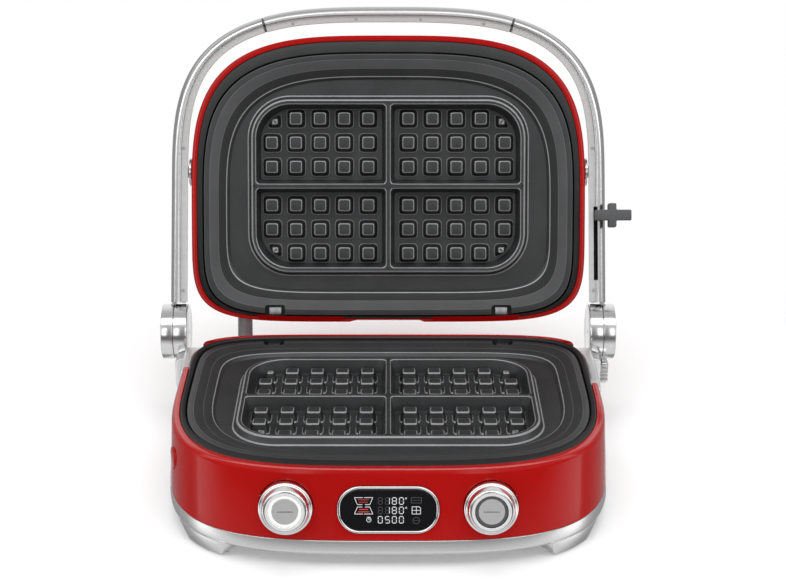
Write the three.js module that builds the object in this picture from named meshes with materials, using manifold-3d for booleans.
// A contact grill with waffle plates: a base with a control panel, a lid that
// swings on two hinge drums and a handle hoop that carries the lid on side pivots.
// X runs to the right, Y to the back and Z up from the bench. Lengths are in
// millimetres and y = 0 is the middle of the cooking plates.

import * as THREE from 'three';
import { mergeVertices } from 'three/addons/utils/BufferGeometryUtils.js';
import Module from 'manifold-3d';

const wasm = await Module();
wasm.setup();

// Driving sizes
const plateLevel = 73; // height of the plane where the two cooking plates meet
const lidEdge = { side: 165.8, front: 125, rear: 115.6 }; // outline of the lid's rim
const rimEdge = { side: 164.6, front: 128, rear: 115.6 }; // outline of the base's rim
const plateEdge = { side: 155, front: 109.5, rear: 109.5 }; // edge of the cooking plates
const shoulderEdge = { side: 165.8, front: 129.4, rear: 116.4 }; // base just under its rim
const seamEdge = { side: 168.8, front: 138, rear: 118.6 }; // lower edge of the red shell
const skirtEdge = { side: 169.2, front: 138.6, rear: 119 }; // lower edge of the silver skirt
const widestBehind = 20; // the outline is widest this far behind the plates' middle
const frontPower = 3.45; // how square the outline's front corners are
const rearPower = 5.9; // how square its rear corners are
const hinge = { behind: 123.2, above: 1.6, opening: 107.7 * (Math.PI / 180) };
const clearance = 0.3; // gap between pieces that touch
const runningGap = 0.5; // gap round pieces that move
const overrun = 6; // how far a cutting solid runs past what it cuts
const outlineSides = 32; // facets round the body's outline
const innerSides = 16; // facets round pieces of that outline that lie inside
const roundSides = 20; // facets round a turned piece
const smallSides = 10; // facets round a small or hidden turned piece
const knobSides = 20; // facets round a knob

const shell = {
  wall: 2.6, rimHeight: 2.2, shoulderDrop: 1, seamDrop: 50, lipDepth: 5,
  filletShare: 0.7, filletDropShare: 0.3, lip: { side: 4.6, front: 5.3, rear: 3 },
};
const surround = { height: 1.6, innerHeight: 0.6, gap: 1.2, flange: 10, wall: 1.4 };
const plate = {
  rimDrop: 0.5, rimWidth: 5, rampWidth: 8, rampDrop: 2.2, slopeWidth: 7, floorDrop: 6,
  thickness: 3.5, edgeChamfer: 0.8,
};
const plateSeat = plate.rimDrop + plate.floorDrop + plate.thickness + clearance;
const block = {
  halfWidth: 117.5, halfDepth: 75, centre: 0.9, corner: 35, rim: 6.6, draft: 3.2,
  lowDraft: 3.6, depth: 16, floorDrop: 12.5,
};
const cell = { ridge: 4, draft: 3, innerCorner: 2.5, cornerSteps: 3, innerSteps: 1 };
const peg = {
  base: 15.6, tip: 9.6, height: 8, pitch: 20.3, firstAcross: 16.8, firstAlong: 16.1,
  columns: 5, rows: 3, cornerGap: 4.5,
};
const notch = { across: 95.5, width: 17, depth: 8.5 };
const clip = { width: 10, thickness: 1.6, reach: 6, drop: 2.4 };

const pan = {
  wall: 2.5, skirtDrop: 60.5, floorDrop: 63, edgeRound: 4, tongue: 1.6, tongueHeight: 4,
  bossRadius: 4, bossHeight: 5,
};
const foot = {
  length: 38, sideSlope: 11, endSlope: 2.5, bevel: 2.5, depth: 15, taper: 1.5,
  frontTurn: 46 * (Math.PI / 180), rearTurn: 48 * (Math.PI / 180), frontAcross: 128.3,
  frontAhead: 102.8, rearAcross: 141.3, rearBehind: 99.3, padHeight: 1.2, padInset: 4,
  padDepth: 8,
};
const vent = { width: 40, slot: 3, pitch: 8, count: 6, across: 85, ahead: 52 };

const heater = {
  radius: 3.5, across: 88, along: 52, power: 4, gapAngle: 9 * (Math.PI / 180),
  steps: 22,
};
const shield = { sheet: 0.8, depth: 27.5, wallInset: 30, flangeInset: 6 };
const sensor = { radius: 9, stem: 5, cap: 2 };

const knob = {
  across: 73, drop: 25.6, baseRadius: 19.4, faceRadius: 15, neckRadius: 17.4, projection: 10,
  baseHeight: 3.4, embed: 6, bore: 11.8, ringRadius: 11.4, buttonRadius: 9.5, buttonDepth: 7,
  buttonSink: 0.6, press: 1.5, faceRound: 1.2,
};
const encoder = { radius: 13, shaftRadius: 5 };
const display = {
  width: 73, height: 35.5, corner: 16.5, rimWidth: 2.4, rimHeight: 1.6, embed: 5, drop: 27,
  glass: 1.6, glassSink: 0.7,
};
const board = { margin: 6, height: 30, thickness: 1.6, behind: 15 };
const power = {
  width: 120, depth: 70, thickness: 1.6, relayHeight: 14, relayWidth: 18, gap: 6,
  behind: -25,
};

const drum = {
  radius: 23.2, gap: 2.3, armWidth: 11.2, hubWidth: 10.4, chamfer: 1, pinRadius: 6,
  noseRadius: 1.4, cavityInner: 9, cavityOuter: 18.5, cavityDepth: 8.6, cap: 2.2,
};
const drumInner = lidEdge.side + drum.gap;
const drumSeam = drumInner + drum.armWidth; // where the arm's half meets the hub's
const drumOuter = drumSeam + drum.hubWidth;
const spring = { radius: 13.8, wire: 0.95, turns: 2.5, steps: 9, sides: 5 };
const arm = {
  leftFront: 48.7, rightFront: 18, tail: 51.3, top: 0.4, reachInside: 19.8, topGap: 0.1,
  flareInset: 2.3, lowInset: 7, sweepDrop: 6.5, flareDrop: 11, flareHeight: 22, lowDrop: 46,
  stepBehind: 86, stepLength: 4,
};
const armRear = hinge.behind - drum.radius;
const armInner = lidEdge.side - arm.reachInside;
const armTop = drumInner - arm.topGap; // widest X beside a closed leg
const armFlare = drumSeam - arm.flareInset; // widest X under a closed leg
const release = {
  length: 12, top: 11.5, bottom: 31.5, thickness: 4, ridge: 1.2, ridges: 5, stem: 4, travel: 5,
  gap: 20.2,
};
const releaseRear = hinge.behind - release.gap;

const hoop = {
  shoulder: 127, top: 276, power: 3.15, incline: 6.5 * (Math.PI / 180), drumGap: 1.2,
  seam: 107.5, seamGap: 2.4, cornerSteps: 12, gripSteps: 8,
};
const tube = { width: 9, halfDepth: 12.5, steps: 7, corner: 1.2 };
const cover = { width: 4.9, halfDepth: 10, chamfer: 1 };
const band = { inset: 0.7 };
const strap = { thickness: 2.4, halfDepth: 6.5, length: 40, outerWall: 1.1, gap: 0.4 };
const hoopHalf = drumSeam + strap.gap + strap.thickness + clearance + strap.outerWall;
const hoopStart = drum.radius + hoop.drumGap;
const pivot = {
  along: 135.2, bossRadius: 11.4, pinRadius: 5, headRadius: 6.6, headLength: 3, headGap: 2,
  reach: 9,
};
const stopPin = { along: 66, radius: 3, length: 2.2 };
const slider = {
  slotNear: 42.6, slotFar: 104.6, slotWidth: 3.2, slotDepth: 12, tongue: 2.4, tongueLength: 12,
  along: 97, shankWidth: 9, shankHeight: 4.5, tipReach: 20.3, barGap: 1.1, barWidth: 6.6,
  barLength: 20, barHeight: 10, gap: 0.6,
};

const lid = {
  gap: 4, wall: 1.4, lip: { side: 4.5, front: 4.5, rear: 3 }, height: 70, sideHeight: 34,
  recessWidth: 53, recessDepth: 2.4, recessHeight: 16, shoulderSteps: 4, crownInset: 84, shoulderInset: 26,
  shoulderHeight: 62, bendPower: 1.4, domeShare: 0.25,
};
const frame = { outerLift: 3.4, innerLift: 1 };
const button = { radius: 8.2, projection: 1, depth: 8, round: 0.5 };
const lowerButton = { ahead: 65, drop: 21 };
const upperButton = { behind: 60.7, lift: 22 };

const conduit = {
  across: 122.5, radius: 6.4, baseDrop: 17, lidLift: 22, slack: 34, sides: 10, steps: 12,
};
const gland = { radius: 9.6, length: 4, root: 3 };
const cordGland = {
  across: 70, drop: 38, radius: 7, bore: 4, flange: 9.5, flangeLength: 2, nose: 5, inside: 7,
};
const tray = {
  width: 116, depth: 84, height: 13, wall: 1.6, corner: 8, fascia: 2.4, fasciaMargin: 4,
  pull: 7, pullWidth: 40,
};

const gloss = { roughness: 0.16, metalness: 0.1 };
const satin = { roughness: 0.34, metalness: 0.9 };
const matt = { roughness: 0.62, metalness: 0.05 };
const finishes = {
  red: { color: 0xa11312, ...gloss },
  silver: { color: 0xc9cacc, ...satin },
  tube: { color: 0xb8b9bb, ...satin },
  chrome: { color: 0xd8d9db, roughness: 0.12, metalness: 1 },
  coating: { color: 0x3a3b3c, roughness: 0.5, metalness: 0.15 },
  darkPlastic: { color: 0x4a4b4d, ...matt },
  rubber: { color: 0x161616, roughness: 0.85, metalness: 0 },
  glass: { color: 0x050505, roughness: 0.06, metalness: 0 },
  steel: { color: 0x9a9c9e, roughness: 0.4, metalness: 0.9 },
  board: { color: 0x1d4a2c, ...matt },
  braid: { color: 0x77787a, roughness: 0.7, metalness: 0.3 },
  button: { color: 0xb9babc, ...satin },
  white: { color: 0xe8e8e6, roughness: 0.4, metalness: 0 },
};

// Geometry helpers

// A closed mesh with its shared corners merged and its faces pointing out.
function cleaned(source) {
  const bare = source.clone();
  bare.deleteAttribute('normal');
  bare.deleteAttribute('uv');
  const geometry = mergeVertices(bare);
  const corners = geometry.index.array;
  const spots = geometry.attributes.position;
  const kept = [];
  let volume = 0;
  const [a, b, c] = [new THREE.Vector3(), new THREE.Vector3(), new THREE.Vector3()];
  for (let i = 0; i < corners.length; i += 3) {
    const [p, q, r] = [corners[i], corners[i + 1], corners[i + 2]];
    if (p === q || q === r || r === p) continue;
    kept.push([p, q, r]);
    a.fromBufferAttribute(spots, p);
    b.fromBufferAttribute(spots, q);
    c.fromBufferAttribute(spots, r);
    volume += a.dot(b.cross(c));
  }
  const turned = volume < 0 ? kept.map(([p, q, r]) => [p, r, q]) : kept;
  geometry.setIndex(turned.flat());
  return geometry;
}

function solid(geometry) {
  const mesh = cleaned(geometry);
  return new wasm.Manifold(new wasm.Mesh({
    numProp: 3,
    vertProperties: new Float32Array(mesh.attributes.position.array),
    triVerts: new Uint32Array(mesh.index.array),
  }));
}

function geometryOf(body) {
  const mesh = body.getMesh();
  const geometry = new THREE.BufferGeometry();
  geometry.setAttribute('position', new THREE.BufferAttribute(mesh.vertProperties, 3));
  geometry.setIndex(Array.from(mesh.triVerts));
  return geometry;
}

// One body from a base solid, solids to add and solids to cut away.
function combined(base, added, removed = []) {
  let body = solid(base);
  for (const extra of added) body = body.add(solid(extra));
  for (const cut of removed) body = body.subtract(solid(cut));
  return geometryOf(body);
}

// Skins a stack of rings that all have the same number of points. A closed stack
// joins its last ring to its first, and an open one gets a flat cap at each end.
function loft(rings, isClosed = false) {
  const count = rings[0].length;
  const index = [];
  const joins = isClosed ? rings.length : rings.length - 1;
  for (let r = 0; r < joins; r += 1) {
    const low = r * count;
    const high = ((r + 1) % rings.length) * count;
    for (let i = 0; i < count; i += 1) {
      const j = (i + 1) % count;
      index.push(low + i, low + j, high + j);
      index.push(low + i, high + j, high + i);
    }
  }
  if (!isClosed) {
    const top = joins * count;
    for (let i = 1; i < count - 1; i += 1) {
      index.push(0, i + 1, i);
      index.push(top, top + i, top + i + 1);
    }
  }
  const geometry = new THREE.BufferGeometry();
  const flat = rings.flat().flatMap((point) => point.toArray());
  geometry.setAttribute('position', new THREE.Float32BufferAttribute(flat, 3));
  geometry.setIndex(index);
  return cleaned(geometry);
}

const grown = (edge, amount) => ({
  side: edge.side + amount, front: edge.front + amount, rear: edge.rear + amount,
});

// The outline drawn in by its own amount at the sides, the front and the rear.
const lipped = (edge, lip, gap = 0) => ({
  side: edge.side - lip.side - gap,
  front: edge.front - lip.front - gap,
  rear: edge.rear - lip.rear - gap,
});

const between = (from, to, share) => ({
  side: THREE.MathUtils.lerp(from.side, to.side, share),
  front: THREE.MathUtils.lerp(from.front, to.front, share),
  rear: THREE.MathUtils.lerp(from.rear, to.rear, share),
});

const eased = (value, power) => Math.sign(value) * Math.abs(value) ** (2 / power);

// A level ring of the body's outline, squarer at the back than at the front.
function ring(edge, z, sides = outlineSides) {
  return Array.from({ length: sides }, (_, i) => {
    const angle = (2 * Math.PI * i) / sides;
    const along = Math.sin(angle);
    const isFront = along < 0;
    const power = isFront ? frontPower : rearPower;
    const depth = isFront ? edge.front + widestBehind : edge.rear - widestBehind;
    return new THREE.Vector3(
      edge.side * eased(Math.cos(angle), power),
      widestBehind + depth * eased(along, power),
      z,
    );
  });
}

// Place and heading of the left wall of an outline some way ahead of the middle.
function leftWallAt(edge, ahead) {
  const depth = edge.front + widestBehind;
  const share = (widestBehind + ahead) / depth;
  const across = (1 - share ** frontPower) ** (1 / frontPower);
  const slope = ((edge.side / depth) * share ** (frontPower - 1)) / across ** (frontPower - 1);
  return { x: -edge.side * across, turn: Math.atan(slope) };
}

// How far behind the plates' middle an outline lies at some X.
function rearAt(edge, x) {
  const share = (1 - (x / edge.side) ** rearPower) ** (1 / rearPower);
  return widestBehind + (edge.rear - widestBehind) * share;
}

// Outline of the red shell's outside at some depth under the plates' plane.
const wallAt = (drop) => between(
  shoulderEdge, seamEdge, (drop - shell.shoulderDrop) / (shell.seamDrop - shell.shoulderDrop),
);

// A turned piece about the Z axis from points [radius, height].
function turnedZ(profile, sides = roundSides) {
  const points = profile.map(([radius, height]) => new THREE.Vector2(radius, height));
  return cleaned(new THREE.LatheGeometry(points, sides).rotateX(Math.PI / 2));
}

// The same piece with its axis along X, or along -Y so that it faces the front.
const turnedX = (profile, sides) => turnedZ(profile, sides).rotateY(Math.PI / 2);
const turnedFront = (profile, sides) => turnedZ(profile, sides).rotateX(Math.PI / 2);

const diskProfile = (radius, low, high) => [[0, low], [radius, low], [radius, high], [0, high]];

function box(low, high) {
  const size = high.map((value, i) => value - low[i]);
  const middle = high.map((value, i) => (value + low[i]) / 2);
  return new THREE.BoxGeometry(...size).translate(...middle);
}

// Rectangle with rounded corners about the origin.
function roundedShape(width, height, radius) {
  const shape = new THREE.Shape();
  const [w, h] = [width / 2, height / 2];
  shape.moveTo(w, radius - h);
  shape.absarc(w - radius, h - radius, radius, 0, Math.PI / 2);
  shape.absarc(radius - w, h - radius, radius, Math.PI / 2, Math.PI);
  shape.absarc(radius - w, radius - h, radius, Math.PI, Math.PI * 1.5);
  shape.absarc(w - radius, radius - h, radius, Math.PI * 1.5, Math.PI * 2);
  return shape;
}

function prism(shape, depth, curveSegments = 3) {
  return new THREE.ExtrudeGeometry(shape, { depth, bevelEnabled: false, curveSegments });
}

function polygon(points) {
  return new THREE.Shape(points.map(([x, y]) => new THREE.Vector2(x, y)));
}

// Extrudes a side view, drawn as [y, z] points, from one X to another.
function sidePrism(points, fromX, toX) {
  const geometry = prism(polygon(points), toX - fromX);
  geometry.rotateY(Math.PI / 2).rotateX(Math.PI / 2);
  return geometry.translate(fromX, 0, 0);
}

// Moves each side of a convex outline outward by the same amount.
function offsetOutline(points, amount) {
  const count = points.length;
  const area = points.reduce((sum, [x, y], i) => {
    const next = points[(i + 1) % count];
    return sum + x * next[1] - next[0] * y;
  }, 0);
  const outward = Math.sign(area) * amount;
  return points.map((point, i) => {
    const before = points[(i + count - 1) % count];
    const after = points[(i + 1) % count];
    const normals = [[before, point], [point, after]].map(([from, to]) => {
      const length = Math.hypot(to[0] - from[0], to[1] - from[1]);
      return [(to[1] - from[1]) / length, (from[0] - to[0]) / length];
    });
    const [m, n] = normals;
    const scale = outward / (1 + m[0] * n[0] + m[1] * n[1]);
    return [point[0] + (m[0] + n[0]) * scale, point[1] + (m[1] + n[1]) * scale];
  });
}

const mirrored = (geometry) => cleaned(geometry.clone().scale(-1, 1, 1));

function named(name, geometry, finish) {
  const shape = cleaned(geometry);
  shape.computeVertexNormals();
  const mesh = new THREE.Mesh(shape, new THREE.MeshStandardMaterial(finishes[finish]));
  mesh.name = name;
  return mesh;
}

// Cooking plate, drawn as the lower one with its rim just under z = 0

function waffleCells() {
  const top = -plate.rimDrop;
  const floor = top - block.floorDrop;
  const outerAcross = block.halfWidth - block.rim;
  const outerAlong = block.halfDepth - block.rim;
  const outerCorner = block.corner - block.rim;

  // Outline of one cell in its own quarter, from the ridge to the block's rim.
  const cellRing = (shrink, z) => {
    const low = cell.ridge / 2 + shrink;
    const [right, far] = [outerAcross - shrink, outerAlong - shrink];
    const corners = [
      [right - outerCorner, far - outerCorner, outerCorner, 0],
      [low + cell.innerCorner, far - cell.innerCorner, cell.innerCorner, 1],
      [low + cell.innerCorner, low + cell.innerCorner, cell.innerCorner, 2],
      [right - cell.innerCorner, low + cell.innerCorner, cell.innerCorner, 3],
    ];
    return corners.flatMap(([x, y, radius, quarter]) => {
      const steps = quarter ? cell.innerSteps : cell.cornerSteps;
      return Array.from({ length: steps + 1 }, (_, i) => {
        const angle = (quarter + i / steps) * (Math.PI / 2);
        return new THREE.Vector3(x + radius * Math.cos(angle), y + radius * Math.sin(angle), z);
      });
    });
  };
  const rise = cell.draft / block.floorDrop;
  const opening = cellRing(-rise * overrun, top + overrun);
  const cavity = solid(loft([cellRing(cell.draft, floor), opening]));
  const allowed = solid(loft([
    cellRing(peg.cornerGap, floor - overrun), cellRing(peg.cornerGap, top + overrun),
  ]));

  let pegs = null;
  for (let column = 0; column < peg.columns; column += 1) {
    for (let row = 0; row < peg.rows; row += 1) {
      const square = (size, z) => [[1, 1], [-1, 1], [-1, -1], [1, -1]].map(([x, y]) => (
        new THREE.Vector3((x * size) / 2, (y * size) / 2, z)
      ));
      const spread = (peg.base - peg.tip) / peg.height;
      const foundation = overrun / 2;
      const body = loft([
        square(peg.base + spread * foundation, floor - foundation),
        square(peg.tip, floor + peg.height),
      ]);
      body.translate(
        peg.firstAcross + column * peg.pitch,
        peg.firstAlong + row * peg.pitch,
        0,
      );
      pegs = pegs ? pegs.add(solid(body)) : solid(body);
    }
  }
  const quarter = geometryOf(cavity.subtract(pegs.intersect(allowed)));
  const copies = [[1, 1], [-1, 1], [-1, -1], [1, -1]].map(([x, y]) => (
    cleaned(quarter.clone().scale(x, y, 1).translate(0, block.centre, 0))
  ));
  return copies;
}

function cookingPlate() {
  const top = -plate.rimDrop;
  const floor = top - plate.floorDrop;
  const under = floor - plate.thickness;
  const chamfer = plate.edgeChamfer;
  const slab = loft([
    ring(plateEdge, under),
    ring(plateEdge, top - chamfer),
    ring(grown(plateEdge, -chamfer), top),
    ring(grown(plateEdge, -plate.rimWidth), top),
    ring(grown(plateEdge, -plate.rimWidth - plate.rampWidth), top - plate.rampDrop),
    ring(grown(plateEdge, -plate.rimWidth - plate.rampWidth - plate.slopeWidth), floor),
  ]);
  const blockRing = (shrink, z) => {
    const shape = roundedShape(
      2 * (block.halfWidth - shrink),
      2 * (block.halfDepth - shrink),
      block.corner - shrink,
    );
    const points = shape.extractPoints(cell.cornerSteps).shape;
    return points.slice(0, -1).map((point) => new THREE.Vector3(point.x, point.y + block.centre, z));
  };
  const lowest = top - block.depth;
  const raised = loft([
    blockRing(block.lowDraft, lowest),
    blockRing(0, floor),
    blockRing(block.draft, top),
  ]);
  const cuts = waffleCells();
  for (const side of [-1, 1]) {
    const [low, high] = [notch.across - notch.width / 2, notch.across + notch.width / 2];
    cuts.push(box(
      [side > 0 ? low : -high, plateEdge.rear - notch.depth, under - overrun],
      [side > 0 ? high : -low, plateEdge.rear + overrun, overrun],
    ));
  }
  return combined(slab, [raised], cuts);
}

// Spring clip that stands in a plate's notch, rising from the flange under it
function plateClip() {
  const foundation = plateSeat - clearance;
  const rear = rearAt(grown(plateEdge, surround.gap), notch.across + clip.width / 2) - clearance;
  const top = -plate.rimDrop - clip.drop;
  const [half, ahead] = [clip.width / 2, rear - clip.reach];
  const post = box([-half, rear - clip.thickness, -foundation], [half, rear, top]);
  const sill = box([-half, ahead, -foundation], [half, rear, clip.thickness - foundation]);
  const nose = box([-half, ahead, top - clip.thickness], [half, rear, top]);
  return combined(post, [sill, nose]);
}

// Tubular heating element as an open loop behind a plate
class HeaterCurve extends THREE.Curve {
  getPoint(t, target = new THREE.Vector3()) {
    const sweep = 2 * (Math.PI - heater.gapAngle);
    const angle = Math.PI / 2 + heater.gapAngle + t * sweep;
    return target.set(
      heater.across * eased(Math.cos(angle), heater.power),
      block.centre + heater.along * eased(Math.sin(angle), heater.power),
      0,
    );
  }
}

function heaterLoop() {
  const section = new THREE.Shape();
  section.absarc(0, 0, heater.radius, 0, Math.PI * 2);
  const centre = -plate.rimDrop - block.depth - clearance - heater.radius;
  const geometry = new THREE.ExtrudeGeometry(section, {
    extrudePath: new HeaterCurve(), steps: heater.steps, curveSegments: 3, bevelEnabled: false,
  });
  return geometry.translate(0, 0, centre);
}

// Pressed sheet that closes the space behind the heating element
function heatShield() {
  const flangeTop = -plateSeat - surround.wall - clearance;
  const outer = grown(plateEdge, -shield.flangeInset);
  const wallEdge = grown(plateEdge, -surround.flange - clearance);
  const floorEdge = grown(plateEdge, -shield.wallInset);
  const floor = -shield.depth;
  const sheet = shield.sheet;
  return loft([
    [floorEdge, floor],
    [wallEdge, flangeTop],
    [outer, flangeTop],
    [outer, flangeTop - sheet],
    [grown(wallEdge, -sheet), flangeTop - sheet],
    [grown(floorEdge, sheet / 2), floor - sheet],
  ].map(([edge, z]) => ring(edge, z, innerSides)));
}

// Contact sensor that reaches from the shield to the underside of the plate
function plateSensor() {
  const top = -plate.rimDrop - block.depth - clearance;
  const low = clearance - shield.depth;
  return turnedZ([
    [0, low], [sensor.radius, low], [sensor.radius, low + sensor.cap],
    [sensor.stem, low + sensor.cap], [sensor.stem, top - sensor.cap],
    [sensor.radius, top - sensor.cap], [sensor.radius, top], [0, top],
  ], smallSides);
}

// Rim piece that frames a cooking plate and carries it on an inner flange
function plateSurround(outerEdge, outerHeight, innerHeight) {
  const inner = grown(plateEdge, surround.gap);
  const wall = grown(inner, surround.wall);
  const flange = grown(plateEdge, -surround.flange);
  const seat = -plateSeat;
  const shelf = outerHeight - surround.wall - surround.height;
  return loft([
    ring(outerEdge, outerHeight),
    ring(inner, innerHeight),
    ring(inner, seat),
    ring(flange, seat),
    ring(flange, seat - surround.wall),
    ring(wall, seat - surround.wall),
    ring(wall, shelf),
    ring(outerEdge, shelf),
  ], true);
}

// Base

const base = new THREE.Group();
base.position.z = plateLevel;

// Side view of the hinge arm's web, as [y, z] points round a convex outline.
const armShares = [
  [0, 0], [0.04, -0.3], [0.2, -0.66], [0.62, -1], [1, -0.98], [1.3, -0.78], [1.36, -0.46],
  [1.03, -0.24], [1, 0],
];

function armOutline(front) {
  const height = arm.lowDrop + arm.top;
  return armShares.map(([y, z]) => [
    y < 1 ? THREE.MathUtils.lerp(front, armRear, y) : armRear + (y - 1) * arm.tail,
    arm.top + z * height,
  ]).reverse();
}

// Solids that bound the arm's width, by height and by place along the base.
function armEnvelopes() {
  const far = hinge.behind + drum.radius;
  const flat = (side, z) => [[0, 0], [1, 0], [1, 1], [0, 1]].map(([x, y]) => new THREE.Vector3(
    x * side, -rimEdge.front + y * (far + rimEdge.front), z,
  ));
  const low = drumSeam - arm.lowInset;
  const upright = loft([
    flat(low, -arm.lowDrop - overrun),
    flat(low, -arm.lowDrop),
    flat(armFlare, -arm.flareDrop - arm.flareHeight),
    flat(armFlare, -arm.flareDrop),
    flat(armTop, -arm.sweepDrop),
    flat(armTop, overrun),
  ]);
  const level = prism(polygon([
    [0, -rimEdge.front], [armTop, -rimEdge.front], [armTop, arm.stepBehind],
    [armFlare, arm.stepBehind + arm.stepLength], [armFlare, far], [0, far],
  ]), arm.lowDrop + 2 * overrun).translate(0, 0, -arm.lowDrop - overrun);
  return [upright, level];
}

// Space inside the base that the arm keeps clear of.
function insideOfBase() {
  const rimInner = lipped(rimEdge, shell.lip, -clearance);
  const wall = grown(plateEdge, surround.gap + surround.wall + clearance);
  const shelf = -surround.wall - clearance;
  const low = grown(plateEdge, surround.gap);
  return [
    loft([ring(rimInner, shelf), ring(rimInner, overrun)]),
    loft([
      ring(low, -arm.lowDrop - overrun), ring(wall, -arm.flareDrop), ring(wall, shelf + clearance),
    ]),
  ];
}

function hingeArm(front) {
  let body = solid(sidePrism(armOutline(front), armInner, armFlare + overrun));
  for (const envelope of armEnvelopes()) body = body.intersect(solid(envelope));
  for (const space of insideOfBase()) body = body.subtract(solid(space));
  const round = turnedX([
    [0, drumInner], [drum.radius - drum.chamfer, drumInner],
    [drum.radius, drumInner + drum.chamfer], [drum.radius, drumSeam - drum.chamfer / 2],
    [drum.radius - drum.chamfer / 2, drumSeam], [0, drumSeam],
  ]).translate(0, hinge.behind, hinge.above);
  body = body.add(solid(round));
  const [low, high] = [drumSeam - drum.cavityDepth, drumSeam + overrun];
  const cuts = [
    turnedX([
      [drum.cavityInner, low], [drum.cavityOuter, low], [drum.cavityOuter, high],
      [drum.cavityInner, high], [drum.cavityInner, low],
    ]),
    turnedX(diskProfile(drum.pinRadius + clearance, drumInner + drum.cap, high), smallSides),
    turnedX(diskProfile(drum.noseRadius + clearance, drumInner - overrun, high), smallSides),
  ];
  for (const cut of cuts) {
    body = body.subtract(solid(cut.translate(0, hinge.behind, hinge.above)));
  }
  return geometryOf(body);
}

base.add(named('hinge_arm_left', mirrored(hingeArm(arm.leftFront)), 'silver'));

// Ridged thumb slide on the right arm that frees the hinge for the flat position.
function releaseSlide() {
  const [rear, top, bottom] = [releaseRear - runningGap, -release.top, -release.bottom];
  const front = rear - release.length;
  const margin = (release.bottom - release.top) / (release.ridges + 1);
  const gap = runningGap;
  const face = armFlare + gap;
  const stem = box(
    [armFlare - release.stem + gap, front, bottom + margin], [face + gap, rear, top - margin],
  );
  const pad = box([face, front, bottom], [face + release.thickness, rear, top]);
  const ridges = Array.from({ length: release.ridges }, (_, i) => {
    const z = bottom + margin * (i + 1);
    return box(
      [face, front - release.ridge, z - release.ridge],
      [face + release.thickness + release.ridge, rear, z + release.ridge],
    );
  });
  return combined(pad, [stem, ...ridges]);
}
const stemSlot = box(
  [
    armFlare - release.stem,
    releaseRear - release.length - release.travel - 2 * runningGap,
    -release.bottom + (release.bottom - release.top) / (release.ridges + 1) - runningGap,
  ],
  [
    armFlare + overrun,
    releaseRear,
    -release.top - (release.bottom - release.top) / (release.ridges + 1) + runningGap,
  ],
);
base.add(named('hinge_arm_right', combined(hingeArm(arm.rightFront), [], [stemSlot]), 'silver'));
base.add(named('hinge_release_slide', releaseSlide(), 'silver'));

const pinProfile = [
  [0, drumInner], [drum.noseRadius, drumInner],
  [drum.noseRadius, drumInner + drum.cap + clearance],
  [drum.pinRadius, drumInner + drum.cap + clearance],
  [drum.pinRadius, drumOuter - drum.cap - clearance], [0, drumOuter - drum.cap - clearance],
];

const coilLength = drum.cavityDepth - 2 * (spring.wire + clearance);

class CoilCurve extends THREE.Curve {
  getPoint(t, target = new THREE.Vector3()) {
    const angle = 2 * Math.PI * spring.turns * t;
    return target.set(
      coilLength * t, spring.radius * Math.cos(angle), spring.radius * Math.sin(angle),
    );
  }
}

function torsionSpring() {
  const wire = new THREE.Shape();
  wire.absarc(0, 0, spring.wire, 0, Math.PI * 2);
  const geometry = new THREE.ExtrudeGeometry(wire, {
    extrudePath: new CoilCurve(),
    steps: Math.round(spring.turns * spring.steps),
    curveSegments: spring.sides / 2,
    bevelEnabled: false,
  });
  const start = drumSeam - drum.cavityDepth + spring.wire + clearance;
  return geometry.translate(start, hinge.behind, hinge.above);
}

// Least gap between neighbouring turns, measured on the coil's own centre line.
function coilGap() {
  const points = new CoilCurve().getPoints(Math.round(spring.turns * spring.steps));
  let least = Infinity;
  points.forEach((point, i) => {
    points.slice(i + Math.round(spring.steps / 2)).forEach((other) => {
      least = Math.min(least, point.distanceTo(other) - 2 * spring.wire);
    });
  });
  return least;
}
console.log('least gap in the torsion spring', coilGap().toFixed(2));

const pinRight = turnedX(pinProfile, smallSides).translate(0, hinge.behind, hinge.above);
const springRight = torsionSpring();
base.add(named('hinge_pin_right', pinRight, 'steel'));
base.add(named('hinge_pin_left', mirrored(pinRight), 'steel'));
base.add(named('hinge_spring_right', springRight, 'steel'));
base.add(named('hinge_spring_left', mirrored(springRight), 'steel'));

// Control panel: a group whose XZ plane lies on the leaning front of the shell

const panelLean = Math.atan(
  (seamEdge.front - shoulderEdge.front) / (shell.seamDrop - shell.shoulderDrop),
);
const panelGroup = new THREE.Group();
panelGroup.position.set(0, -shoulderEdge.front, -shell.shoulderDrop);
panelGroup.rotation.x = -panelLean;
panelGroup.updateMatrix();
const onPanel = (geometry) => geometry.clone().applyMatrix4(panelGroup.matrix);
const panelDrop = (drop) => (drop - shell.shoulderDrop) / Math.cos(panelLean);

function displayPrism(grow, ahead, behind) {
  const shape = roundedShape(
    display.width + 2 * grow, display.height + 2 * grow, display.corner + grow,
  );
  const geometry = prism(shape, ahead + behind).rotateX(Math.PI / 2);
  return geometry.translate(0, behind, -panelDrop(display.drop));
}

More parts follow.
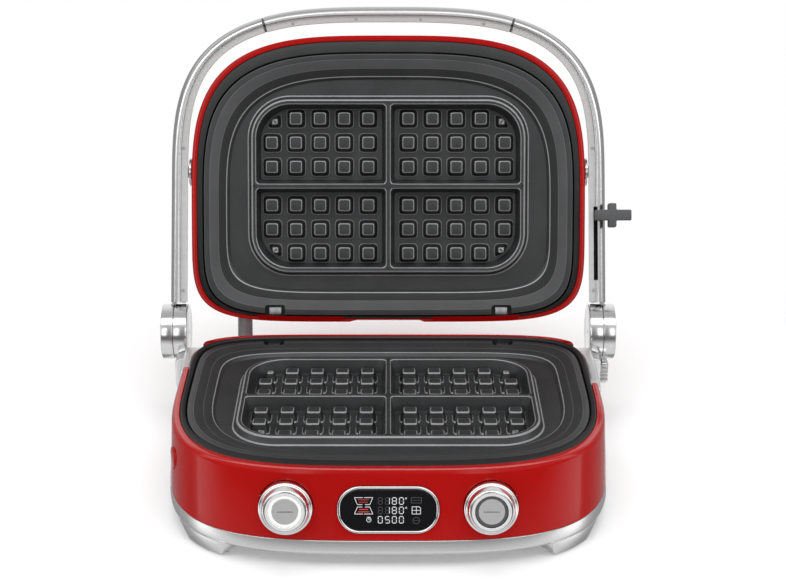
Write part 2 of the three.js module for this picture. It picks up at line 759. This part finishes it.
// Red shell
function baseShell() {
  const rimTop = shell.rimHeight;
  const fillet = between(rimEdge, shoulderEdge, shell.filletShare);
  const filletTop = THREE.MathUtils.lerp(rimTop, -shell.shoulderDrop, shell.filletDropShare);
  const inside = (edge) => grown(edge, -shell.wall);
  const lip = lipped(rimEdge, shell.lip);
  const lipLow = -shell.lipDepth;
  const band = loft([
    ring(rimEdge, rimTop),
    ring(fillet, filletTop),
    ring(shoulderEdge, -shell.shoulderDrop),
    ring(seamEdge, -shell.seamDrop),
    ring(inside(seamEdge), -shell.seamDrop),
    ring(inside(shoulderEdge), lipLow - shell.wall),
    ring(lip, lipLow),
    ring(lip, rimTop),
  ], true);
  const cuts = [];
  for (const side of [-1, 1]) {
    const front = side > 0 ? arm.rightFront : arm.leftFront;
    const web = offsetOutline(armOutline(front), clearance);
    const [near, far] = [armInner - overrun, armFlare + overrun];
    cuts.push(side > 0 ? sidePrism(web, near, far) : sidePrism(web, -far, -near));
    const open = webTop(web);
    cuts.push(side > 0 ? sidePrism(open, near, far) : sidePrism(open, -far, -near));
    cuts.push(onPanel(turnedFront(diskProfile(
      knob.baseRadius + runningGap, -knob.embed - overrun, overrun * 2,
    )).translate(side * knob.across, 0, -panelDrop(knob.drop))));
  }
  cuts.push(onPanel(displayPrism(clearance, overrun, display.embed + overrun)));
  cuts.push(onLeftWall(buttonHole()));
  const { collar, bore } = conduitCollar(wallAt(conduit.baseDrop), -conduit.baseDrop);
  cuts.push(bore, cordHole(), trayWindow(runningGap));
  return combined(band, [collar], cuts);
}

// The part of the arm's cut that runs up through the rim.
function webTop(web) {
  const [front, rear] = [web[web.length - 1][0], armRear + clearance];
  return [[front, -clearance], [rear, -clearance], [rear, overrun * 2], [front, overrun * 2]];
}

const buttonHole = () => turnedX(
  diskProfile(button.radius + runningGap, -overrun, 2 * shell.wall + overrun),
);

// Group on the shell's left wall for the lower release button, square to the wall
const lowerButtonPlace = leftWallAt(wallAt(lowerButton.drop), lowerButton.ahead);
const lowerButtonGroup = new THREE.Group();
lowerButtonGroup.position.set(lowerButtonPlace.x, -lowerButton.ahead, -lowerButton.drop);
lowerButtonGroup.rotation.z = lowerButtonPlace.turn;
lowerButtonGroup.updateMatrix();
const onLeftWall = (geometry) => geometry.clone().applyMatrix4(lowerButtonGroup.matrix);

// Collar round the conduit where it leaves the back of the base or the lid, and its bore.
function conduitCollar(edge, level) {
  const place = [-conduit.across, rearAt(edge, conduit.across), level];
  return {
    collar: turnedFront(diskProfile(gland.radius, -gland.length, gland.root)).translate(...place),
    bore: turnedFront(
      diskProfile(conduit.radius + clearance, -gland.length - overrun, overrun),
    ).translate(...place),
  };
}

const cordHole = () => turnedFront(
  diskProfile(cordGland.radius + clearance, -overrun * 2, overrun * 2), innerSides,
).translate(cordGland.across, seamEdge.rear, -cordGland.drop);

function trayWindow(margin) {
  const low = -pan.floorDrop + pan.wall + clearance - margin;
  const half = tray.width / 2 + margin;
  return box(
    [-half, seamEdge.rear - overrun * 2, low],
    [half, skirtEdge.rear + overrun, low + tray.height + tray.fasciaMargin + 2 * margin],
  );
}

base.add(named('base_shell', baseShell(), 'red'));
base.add(named(
  'base_surround',
  plateSurround(lipped(rimEdge, shell.lip, clearance), surround.height, surround.innerHeight),
  'coating',
));
const plateGeometry = cookingPlate();
base.add(named('lower_plate', plateGeometry, 'coating'));

function addPair(group, names, geometry, across, finish, place = {}) {
  [-1, 1].forEach((side, i) => {
    const mesh = named(names[i], geometry, finish);
    mesh.position.set(side * across, place.y ?? 0, place.z ?? 0);
    if (place.turn) mesh.rotation.y = place.turn;
    group.add(mesh);
  });
}
addPair(base, ['lower_clip_left', 'lower_clip_right'], plateClip(), notch.across, 'steel');
base.add(named('lower_heating_element', heaterLoop(), 'steel'));
base.add(named('lower_heat_shield', heatShield(), 'steel'));
base.add(named('lower_plate_sensor', plateSensor(), 'steel'));

// Silver pan with its feet
const footPlaces = [-1, 1].flatMap((side) => [
  {
    name: side < 0 ? 'foot_pad_front_left' : 'foot_pad_front_right',
    x: side * foot.frontAcross, y: -foot.frontAhead, turn: side * foot.frontTurn, end: -side,
  },
  {
    name: side < 0 ? 'foot_pad_rear_left' : 'foot_pad_rear_right',
    x: side * foot.rearAcross, y: foot.rearBehind, turn: Math.PI - side * foot.rearTurn, end: side,
  },
]);
const footBottom = foot.padHeight + clearance - plateLevel;

// Block of one foot: steep at its end towards the middle of the pan, sloping at the other.
function footBlock({ x, y, turn, end }) {
  const half = foot.length / 2;
  const top = -pan.floorDrop + pan.wall;
  const outline = polygon([
    [-half - foot.sideSlope, top], [-half, footBottom + foot.bevel],
    [foot.bevel - half, footBottom], [half - foot.bevel, footBottom],
    [half, footBottom + foot.bevel], [half + foot.endSlope, top],
  ].map(([across, z]) => [end * across, z]));
  const geometry = prism(outline, foot.depth * 2).rotateX(Math.PI / 2);
  return geometry.translate(0, foot.depth, 0).rotateZ(turn).translate(x, y, 0);
}

function footRegion() {
  const low = grown(skirtEdge, -foot.taper);
  const outer = loft([
    ring(low, footBottom), ring(skirtEdge, -pan.skirtDrop),
    ring(skirtEdge, -pan.skirtDrop + clearance),
  ]);
  const deep = grown(skirtEdge, -foot.taper - foot.depth);
  const inner = loft([ring(deep, footBottom - overrun), ring(deep, overrun)]);
  return solid(outer).subtract(solid(inner));
}

function basePan() {
  const floorTop = -pan.floorDrop + pan.wall;
  const seam = -shell.seamDrop - clearance;
  const tongueOuter = grown(seamEdge, -shell.wall - 2 * clearance);
  const tongueTop = grown(
    wallAt(shell.seamDrop - pan.tongueHeight), -shell.wall - 2 * clearance,
  );
  const body = loft([
    ring(grown(skirtEdge, -pan.wall - pan.edgeRound), floorTop),
    ring(grown(skirtEdge, -pan.wall - clearance - pan.tongue), -pan.skirtDrop + pan.wall),
    ring(grown(tongueTop, -pan.tongue), seam + pan.tongueHeight),
    ring(tongueTop, seam + pan.tongueHeight),
    ring(tongueOuter, seam),
    ring(seamEdge, seam),
    ring(skirtEdge, -pan.skirtDrop),
    ring(grown(skirtEdge, -pan.edgeRound), -pan.floorDrop),
  ]);
  const added = footPlaces.map((place) => geometryOf(solid(footBlock(place)).intersect(footRegion())));
  for (const [x, y] of powerBosses()) {
    added.push(turnedZ(
      diskProfile(pan.bossRadius, floorTop - clearance, floorTop + pan.bossHeight), smallSides,
    ).translate(x, y, 0));
  }
  const cuts = [trayWindow(runningGap)];
  for (const side of [-1, 1]) {
    for (let i = 0; i < vent.count; i += 1) {
      const y = -vent.ahead + i * vent.pitch;
      cuts.push(box(
        [side * vent.across - vent.width / 2, y, -pan.floorDrop - overrun],
        [side * vent.across + vent.width / 2, y + vent.slot, floorTop + clearance],
      ));
    }
  }
  return combined(body, added, cuts);
}

const powerBosses = () => [[-1, -1], [1, -1], [1, 1], [-1, 1]].map(([x, y]) => [
  x * (power.width / 2 - pan.bossRadius), power.behind + y * (power.depth / 2 - pan.bossRadius),
]);
base.add(named('base_pan', basePan(), 'silver'));

function footPad() {
  const shape = roundedShape(foot.length - 2 * foot.padInset, foot.padDepth, foot.padDepth / 2);
  return prism(shape, foot.padHeight, 2);
}
for (const { name, x, y, turn } of footPlaces) {
  const pad = named(name, footPad(), 'rubber');
  pad.position.set(x, y, -plateLevel);
  pad.rotation.z = turn;
  base.add(pad);
}

// Electronics inside the base
function powerBoard() {
  const low = -pan.floorDrop + pan.wall + pan.bossHeight + clearance;
  const [halfWidth, halfDepth] = [power.width / 2, power.depth / 2];
  const sheet = box([-halfWidth, -halfDepth, low], [halfWidth, halfDepth, low + power.thickness]);
  const relays = [-1, 1].map((side) => {
    const x = side * (power.relayWidth / 2 + power.gap);
    return box(
      [x - power.relayWidth / 2, -power.relayWidth / 2, low],
      [x + power.relayWidth / 2, power.relayWidth / 2, low + power.relayHeight],
    );
  });
  return combined(sheet, relays).translate(0, power.behind, 0);
}
base.add(named('power_board', powerBoard(), 'board'));

// Control board behind the panel, with the display's module standing on its front
function controlBoard() {
  const reach = knob.across + encoder.radius + board.margin;
  const sheet = box(
    [-reach, board.behind, -board.height / 2],
    [reach, board.behind + board.thickness, board.height / 2],
  );
  const half = (display.width - display.corner) / 2;
  const height = display.height / 2 - display.rimWidth;
  const module = box(
    [-half, display.embed + clearance, -height],
    [half, board.behind + board.thickness / 2, height],
  );
  return combined(sheet, [module]).translate(0, 0, -panelDrop(display.drop));
}
panelGroup.add(named('control_board', controlBoard(), 'board'));

function displayBezel() {
  const body = displayPrism(0, display.rimHeight, display.embed);
  const opening = displayPrism(-display.rimWidth, overrun, display.embed + overrun);
  return combined(body, [], [opening]);
}
panelGroup.add(named('display_bezel', displayBezel(), 'chrome'));
panelGroup.add(named('display_window', displayPrism(
  -display.rimWidth - clearance,
  display.rimHeight - display.glassSink,
  display.glass + display.glassSink - display.rimHeight,
), 'glass'));

function knobRing() {
  const [out, back] = [knob.projection, -knob.embed];
  return turnedFront([
    [knob.bore, back], [knob.baseRadius, back],
    [knob.baseRadius, knob.baseHeight - knob.faceRound],
    [knob.baseRadius - knob.faceRound, knob.baseHeight],
    [knob.neckRadius, knob.baseHeight + knob.faceRound],
    [knob.faceRadius + knob.faceRound, out - knob.faceRound], [knob.faceRadius, out],
    [knob.bore, out], [knob.bore, back],
  ], knobSides);
}

function pushButton() {
  const face = knob.projection - knob.buttonSink;
  return turnedFront([
    [0, face - knob.buttonDepth], [knob.buttonRadius, face - knob.buttonDepth],
    [knob.buttonRadius, face - knob.faceRound / 2], [knob.buttonRadius - knob.faceRound / 2, face],
    [0, face],
  ]);
}

// Translucent ring between the knob and its button, standing on the encoder.
function lightRing() {
  const face = knob.projection - knob.buttonSink;
  const inner = knob.buttonRadius + clearance;
  return turnedFront([
    [inner, -knob.embed - clearance], [knob.ringRadius, -knob.embed - clearance],
    [knob.ringRadius, face], [inner, face], [inner, -knob.embed - clearance],
  ], knobSides);
}

function encoderBody() {
  const front = -knob.embed - 2 * clearance;
  const shaftTop = knob.projection - knob.buttonSink - knob.buttonDepth - knob.press - clearance;
  const back = clearance - board.behind;
  return turnedFront([
    [0, back], [encoder.radius, back], [encoder.radius, front], [encoder.shaftRadius, front],
    [encoder.shaftRadius, shaftTop], [0, shaftTop],
  ], smallSides);
}
const knobPlace = { z: -panelDrop(knob.drop) };
addPair(panelGroup, ['knob_left', 'knob_right'], knobRing(), knob.across, 'silver', knobPlace);
addPair(
  panelGroup, ['push_button_left', 'push_button_right'], pushButton(), knob.across, 'button', knobPlace,
);
addPair(
  panelGroup, ['light_ring_left', 'light_ring_right'], lightRing(), knob.across, 'white', knobPlace,
);
addPair(
  panelGroup, ['encoder_left', 'encoder_right'], encoderBody(), knob.across, 'darkPlastic', knobPlace,
);
base.add(panelGroup);

// Gland of the mains cord, its flange against the outside of the back wall
function mainsGland() {
  const wall = wallAt(cordGland.drop + cordGland.flange);
  const out = -cordGland.flangeLength;
  return turnedFront([
    [cordGland.bore, out - cordGland.nose], [cordGland.radius, out - cordGland.nose],
    [cordGland.radius, out], [cordGland.flange, out], [cordGland.flange, 0],
    [cordGland.radius, 0], [cordGland.radius, cordGland.inside],
    [cordGland.bore, cordGland.inside], [cordGland.bore, out - cordGland.nose],
  ], innerSides).translate(
    cordGland.across, rearAt(wall, cordGland.across) + clearance, -cordGland.drop,
  );
}
base.add(named('cord_gland', mainsGland(), 'rubber'));

// Release button for a plate, drawn with its face to -X
function releaseButton() {
  const inward = button.depth;
  return turnedX([
    [0, -button.projection], [button.radius - button.round, -button.projection],
    [button.radius, button.round - button.projection], [button.radius, inward], [0, inward],
  ]);
}
lowerButtonGroup.add(named('lower_release_button', releaseButton(), 'red'));
base.add(lowerButtonGroup);

// Drip tray in the back of the pan
function dripTray() {
  const low = -pan.floorDrop + pan.wall + clearance;
  const back = skirtEdge.rear - pan.edgeRound;
  const front = back - tray.depth;
  const boxRing = (shrink, z) => {
    const shape = roundedShape(tray.width - 2 * shrink, tray.depth - 2 * shrink, tray.corner - shrink);
    const points = shape.extractPoints(2).shape.slice(0, -1);
    return points.map((point) => new THREE.Vector3(point.x, point.y + (front + back) / 2, z));
  };
  const bowl = loft([
    boxRing(tray.wall, low + tray.wall), boxRing(tray.wall, low + tray.height),
    boxRing(0, low + tray.height), boxRing(0, low),
  ]);
  const half = tray.width / 2;
  const fascia = box(
    [-half, back - tray.wall, low], [half, skirtEdge.rear, low + tray.height + tray.fasciaMargin],
  );
  const pull = box(
    [-tray.pullWidth / 2, skirtEdge.rear - clearance, low + tray.height],
    [tray.pullWidth / 2, skirtEdge.rear + tray.pull, low + tray.height + tray.fascia],
  );
  return combined(bowl, [fascia, pull]);
}
base.add(named('drip_tray', dripTray(), 'darkPlastic'));

// Handle, drawn closed about the hinge axis: its hoop lies in a group of its own
// whose XY plane is the hoop's plane, with the legs running along -Y

const handle = new THREE.Group();
handle.position.set(0, hinge.behind, hinge.above);
handle.rotation.x = -hinge.opening;
const hoopGroup = new THREE.Group();
hoopGroup.rotation.x = -hoop.incline;
handle.add(hoopGroup);
base.add(handle);

// Outer line of the hoop from the right leg (0) over the top to the left leg (180).
function hoopSpot(angle) {
  const [across, along] = [Math.cos(angle), Math.sin(angle)];
  const rise = hoop.top - hoop.shoulder;
  const x = hoopHalf * eased(across, hoop.power);
  const reach = hoop.shoulder + rise * eased(along, hoop.power);
  const slope = new THREE.Vector2(
    Math.sign(x) * (Math.abs(x) / hoopHalf) ** (hoop.power - 1) / hoopHalf,
    ((reach - hoop.shoulder) / rise) ** (hoop.power - 1) / rise,
  ).normalize();
  return { x, reach, out: slope };
}

// Ring of a section drawn as [inset, height] points, set up at one spot of the hoop.
const sectionRing = ({ x, reach, out }, section) => section.map(([inset, height]) => (
  new THREE.Vector3(x - out.x * inset, -(reach - out.y * inset), height)
));

function hoopPiece(fromX, toX, section, steps) {
  const angleAt = (x) => Math.acos(eased(x / hoopHalf, 4 / hoop.power));
  const [start, end] = [angleAt(fromX), angleAt(toX)];
  const spots = Array.from({ length: steps + 1 }, (_, i) => (
    hoopSpot(THREE.MathUtils.lerp(start, end, i / steps))
  ));
  if (fromX === hoopHalf) {
    spots.unshift({ ...spots[0], reach: hoopStart });
  }
  return loft(spots.map((spot) => sectionRing(spot, section)));
}

function tubeSection(inset = 0) {
  const half = tube.halfDepth - inset;
  const back = tube.width - inset;
  const bulge = Array.from({ length: tube.steps + 1 }, (_, i) => {
    const angle = (i / tube.steps - 0.5) * Math.PI;
    return [inset + (back - inset - tube.corner) * (1 - Math.cos(angle)), half * Math.sin(angle)];
  });
  return [...bulge, [back, half - tube.corner], [back, tube.corner - half]];
}

function coverSection() {
  const near = tube.width + clearance;
  const far = near + cover.width;
  const [half, cut] = [cover.halfDepth, cover.chamfer];
  return [
    [near, -half], [far - cut, -half], [far, cut - half], [far, half - cut], [far - cut, half],
    [near, half],
  ];
}

const seamOuter = hoop.seam + hoop.seamGap / 2;
const seamInner = hoop.seam - hoop.seamGap / 2;
const legInner = hoopHalf - tube.width - clearance - cover.width;

// The steel strap that joins a hub to its leg lies in a pocket of the leg.
function strapBox(gap) {
  const outer = hoopHalf - strap.outerWall - clearance;
  return box(
    [outer - strap.thickness - gap, -hoopStart - strap.length - gap, -strap.halfDepth - gap],
    [outer + gap, gap - drum.radius / 2, strap.halfDepth + gap],
  );
}

function slotBox(gap) {
  const middle = hoopHalf - tube.width - clearance / 2;
  return box(
    [middle - slider.slotWidth / 2 + gap, -slider.slotFar, -tube.halfDepth - overrun],
    [middle + slider.slotWidth / 2 - gap, -slider.slotNear, slider.slotDepth - tube.halfDepth],
  );
}

function addHoop(name, piece, finish, rightCuts = [], leftCuts = [], leftAdded = []) {
  hoopGroup.add(named(`${name}_right`, combined(piece, [], rightCuts), finish));
  hoopGroup.add(named(`${name}_left`, mirrored(combined(piece, leftAdded, leftCuts)), finish));
}
const pivotCut = turnedX(diskProfile(
  pivot.pinRadius + clearance, legInner - overrun, legInner + pivot.reach + clearance,
), smallSides).translate(0, -pivot.along, 0);
const stop = turnedX(diskProfile(
  stopPin.radius, legInner - stopPin.length, legInner + cover.width / 2,
), smallSides).translate(0, -stopPin.along, 0);
const pocket = strapBox(clearance);
const slot = slotBox(0);
const legPiece = (section) => hoopPiece(hoopHalf, seamOuter, section, hoop.cornerSteps);
addHoop('handle_leg', legPiece(tubeSection()), 'tube', [pocket, slot, pivotCut], [pocket, pivotCut]);
addHoop('handle_cover', legPiece(coverSection()), 'tube', [slot, pivotCut], [pivotCut], [stop]);
addHoop(
  'handle_seam',
  hoopPiece(seamOuter - clearance, seamInner + clearance, tubeSection(band.inset), 1),
  'darkPlastic',
);
hoopGroup.add(named(
  'handle_grip', hoopPiece(seamInner, -seamInner, tubeSection(), hoop.gripSteps), 'tube',
));
hoopGroup.add(named(
  'handle_cover_top', hoopPiece(seamInner, -seamInner, coverSection(), hoop.gripSteps), 'tube',
));

// Outer half of a hinge drum with the strap that holds a leg
function hingeHub() {
  const low = drumSeam + clearance;
  const round = turnedX([
    [0, low], [drum.radius - drum.chamfer / 2, low], [drum.radius, low + drum.chamfer / 2],
    [drum.radius, drumOuter - drum.chamfer], [drum.radius - drum.chamfer, drumOuter],
    [0, drumOuter],
  ]);
  const bore = turnedX(diskProfile(
    drum.pinRadius + runningGap, low - overrun, drumOuter - drum.cap,
  ), smallSides);
  return combined(round, [strapBox(0)], [bore]);
}
const hubRight = hingeHub();
hoopGroup.add(named('hinge_hub_right', hubRight, 'silver'));
hoopGroup.add(named('hinge_hub_left', mirrored(hubRight), 'silver'));

// Pin from each leg into the lid's side, with a head behind the lid's wall
function pivotPin() {
  const wallInside = lidEdge.side - lid.wall;
  const head = wallInside - pivot.headLength - pivot.headGap;
  return turnedX([
    [0, head], [pivot.headRadius, head], [pivot.headRadius, head + pivot.headLength],
    [pivot.pinRadius, head + pivot.headLength], [pivot.pinRadius, legInner + pivot.reach],
    [0, legInner + pivot.reach],
  ], smallSides).translate(0, -pivot.along, 0);
}
const pinOfPivot = pivotPin();
hoopGroup.add(named('pivot_pin_right', pinOfPivot, 'steel'));
hoopGroup.add(named('pivot_pin_left', mirrored(pinOfPivot), 'steel'));

// Height lever in the right leg's slot: a tongue, a shank across the leg and a stop bar
function heightLever() {
  const middle = hoopHalf - tube.width - clearance / 2;
  const face = -tube.halfDepth - slider.gap;
  const half = slider.shankWidth / 2;
  const barNear = hoopHalf + slider.barGap;
  const tongue = box(
    [middle - slider.tongue / 2, -half, face - slider.shankHeight],
    [middle + slider.tongue / 2, half, face + slider.tongueLength - slider.gap - 2 * clearance],
  );
  const shank = box(
    [middle - slider.tongue / 2, -half, face - slider.shankHeight],
    [hoopHalf + slider.tipReach, half, face],
  );
  const bar = box(
    [barNear, -slider.barLength / 2, face - slider.shankHeight],
    [
      barNear + slider.barWidth, slider.barLength / 2,
      face - slider.shankHeight + slider.barHeight,
    ],
  );
  return combined(tongue, [shank, bar]).translate(0, -slider.along, 0);
}
hoopGroup.add(named('height_lever', heightLever(), 'darkPlastic'));

// Lid, drawn closed in the base's coordinates

const lidGroup = new THREE.Group();
lidGroup.position.set(0, -hinge.behind, -hinge.above);
handle.add(lidGroup);
const pivotBehind = hinge.behind - pivot.along * Math.cos(hoop.incline);
const pivotLevel = hinge.above + pivot.along * Math.sin(hoop.incline);

function lidShell() {
  const arc = (inset, height, offset, steps) => Array.from({ length: steps + 1 }, (_, i) => {
    const angle = (i / steps) * (Math.PI / 2);
    const bend = Math.sin(angle) ** lid.bendPower;
    return ring(
      grown(lidEdge, -offset - inset * (1 - Math.cos(angle))),
      lid.sideHeight + (height - lid.sideHeight) * bend,
    );
  });
  const outer = arc(lid.shoulderInset, lid.shoulderHeight, 0, lid.shoulderSteps);
  const inner = arc(lid.shoulderInset, lid.shoulderHeight - lid.wall, lid.wall, 2);
  const crown = (height, drop) => [
    ring(grown(lidEdge, -lid.crownInset / 2 - lid.shoulderInset / 2), height - drop),
    ring(grown(lidEdge, -lid.crownInset), height),
  ];
  const dome = (lid.height - lid.shoulderHeight) * lid.domeShare;
  return loft([
    ...crown(lid.height - lid.wall, dome).reverse(),
    ...inner.reverse(),
    ring(grown(lidEdge, -lid.wall), lid.gap + shell.lipDepth + lid.wall),
    ring(lipped(lidEdge, lid.lip), lid.gap + shell.lipDepth),
    ring(lipped(lidEdge, lid.lip), lid.gap),
    ring(lidEdge, lid.gap),
    ...outer,
    ...crown(lid.height, dome),
  ]);
}

function lidShellCut() {
  const wide = lidEdge.side + overrun;
  const recess = sidePrism([
    [lidEdge.rear - lid.recessDepth, lid.gap - overrun],
    [lidEdge.rear + overrun, lid.gap - overrun],
    [lidEdge.rear + overrun, lid.gap + lid.recessHeight],
    [lidEdge.rear, lid.gap + lid.recessHeight],
  ], -lid.recessWidth / 2, lid.recessWidth / 2);
  const pins = turnedX(
    diskProfile(pivot.pinRadius + runningGap, -wide, wide), smallSides,
  ).translate(0, pivotBehind, pivotLevel);
  const release = buttonHole().translate(-lidEdge.side, upperButton.behind, upperButton.lift);
  return [recess, pins, release, lidConduit.bore];
}
const lidConduit = conduitCollar(lidEdge, conduit.lidLift);
lidGroup.add(named(
  'lid_shell', combined(lidShell(), [lidConduit.collar], lidShellCut()), 'red',
));

const turnedOver = (geometry) => cleaned(geometry.clone().scale(1, 1, -1));
const frameOuter = lipped(lidEdge, lid.lip, clearance);
lidGroup.add(named(
  'lid_frame', turnedOver(plateSurround(frameOuter, -frame.outerLift, -frame.innerLift)), 'coating',
));
lidGroup.add(named('upper_plate', turnedOver(plateGeometry), 'coating'));
addPair(
  lidGroup, ['upper_clip_left', 'upper_clip_right'], turnedOver(plateClip()), notch.across, 'steel',
);
lidGroup.add(named('upper_heating_element', turnedOver(heaterLoop()), 'steel'));
lidGroup.add(named('upper_heat_shield', turnedOver(heatShield()), 'steel'));
lidGroup.add(named('upper_plate_sensor', turnedOver(plateSensor()), 'steel'));

// Ribbed collars round the pivots, seated on the lid's sides
function pivotBoss() {
  const [low, high] = [lidEdge.side + clearance, legInner - runningGap];
  const [inner, outer] = [pivot.pinRadius + runningGap, pivot.bossRadius];
  return turnedX(
    [[inner, low], [outer, low], [outer, high], [inner, high], [inner, low]], innerSides,
  );
}
const bossRight = pivotBoss().translate(0, pivotBehind, pivotLevel);
lidGroup.add(named('pivot_boss_right', bossRight, 'chrome'));
lidGroup.add(named('pivot_boss_left', mirrored(bossRight), 'chrome'));

const upperRelease = named('upper_release_button', releaseButton(), 'red');
upperRelease.position.set(-lidEdge.side, upperButton.behind, upperButton.lift);
lidGroup.add(upperRelease);

// Conduit from the back of the base to the back of the lid, at its real length

const conduitStart = new THREE.Vector3(
  -conduit.across, rearAt(wallAt(conduit.baseDrop), conduit.across), -conduit.baseDrop,
);
handle.updateMatrix();
const lidPlace = new THREE.Matrix4().multiplyMatrices(
  handle.matrix, new THREE.Matrix4().makeTranslation(0, -hinge.behind, -hinge.above),
);
const conduitEnd = new THREE.Vector3(
  -conduit.across, rearAt(lidEdge, conduit.across), conduit.lidLift,
).applyMatrix4(lidPlace);
const lidRear = new THREE.Vector3(0, 1, 0).transformDirection(lidPlace);
const conduitPath = new THREE.CubicBezierCurve3(
  conduitStart,
  conduitStart.clone().add(new THREE.Vector3(0, conduit.slack, 0)),
  conduitEnd.clone().addScaledVector(lidRear, conduit.slack),
  conduitEnd,
);

function conduitTube() {
  const section = new THREE.Shape();
  section.absarc(0, 0, conduit.radius, 0, Math.PI * 2);
  return new THREE.ExtrudeGeometry(section, {
    extrudePath: conduitPath, steps: conduit.steps, curveSegments: conduit.sides / 2,
    bevelEnabled: false,
  });
}
base.add(named('power_conduit', conduitTube(), 'braid'));
console.log('length of the conduit', conduitPath.getLength().toFixed(1));

// The whole grill, with its origin under the middle of its overall box
const grill = new THREE.Group();
grill.add(base);
grill.updateMatrixWorld(true);
const overall = new THREE.Box3().setFromObject(grill, true);
const middle = overall.getCenter(new THREE.Vector3());
grill.position.set(-middle.x, -middle.y, -overall.min.z);

export default grill;
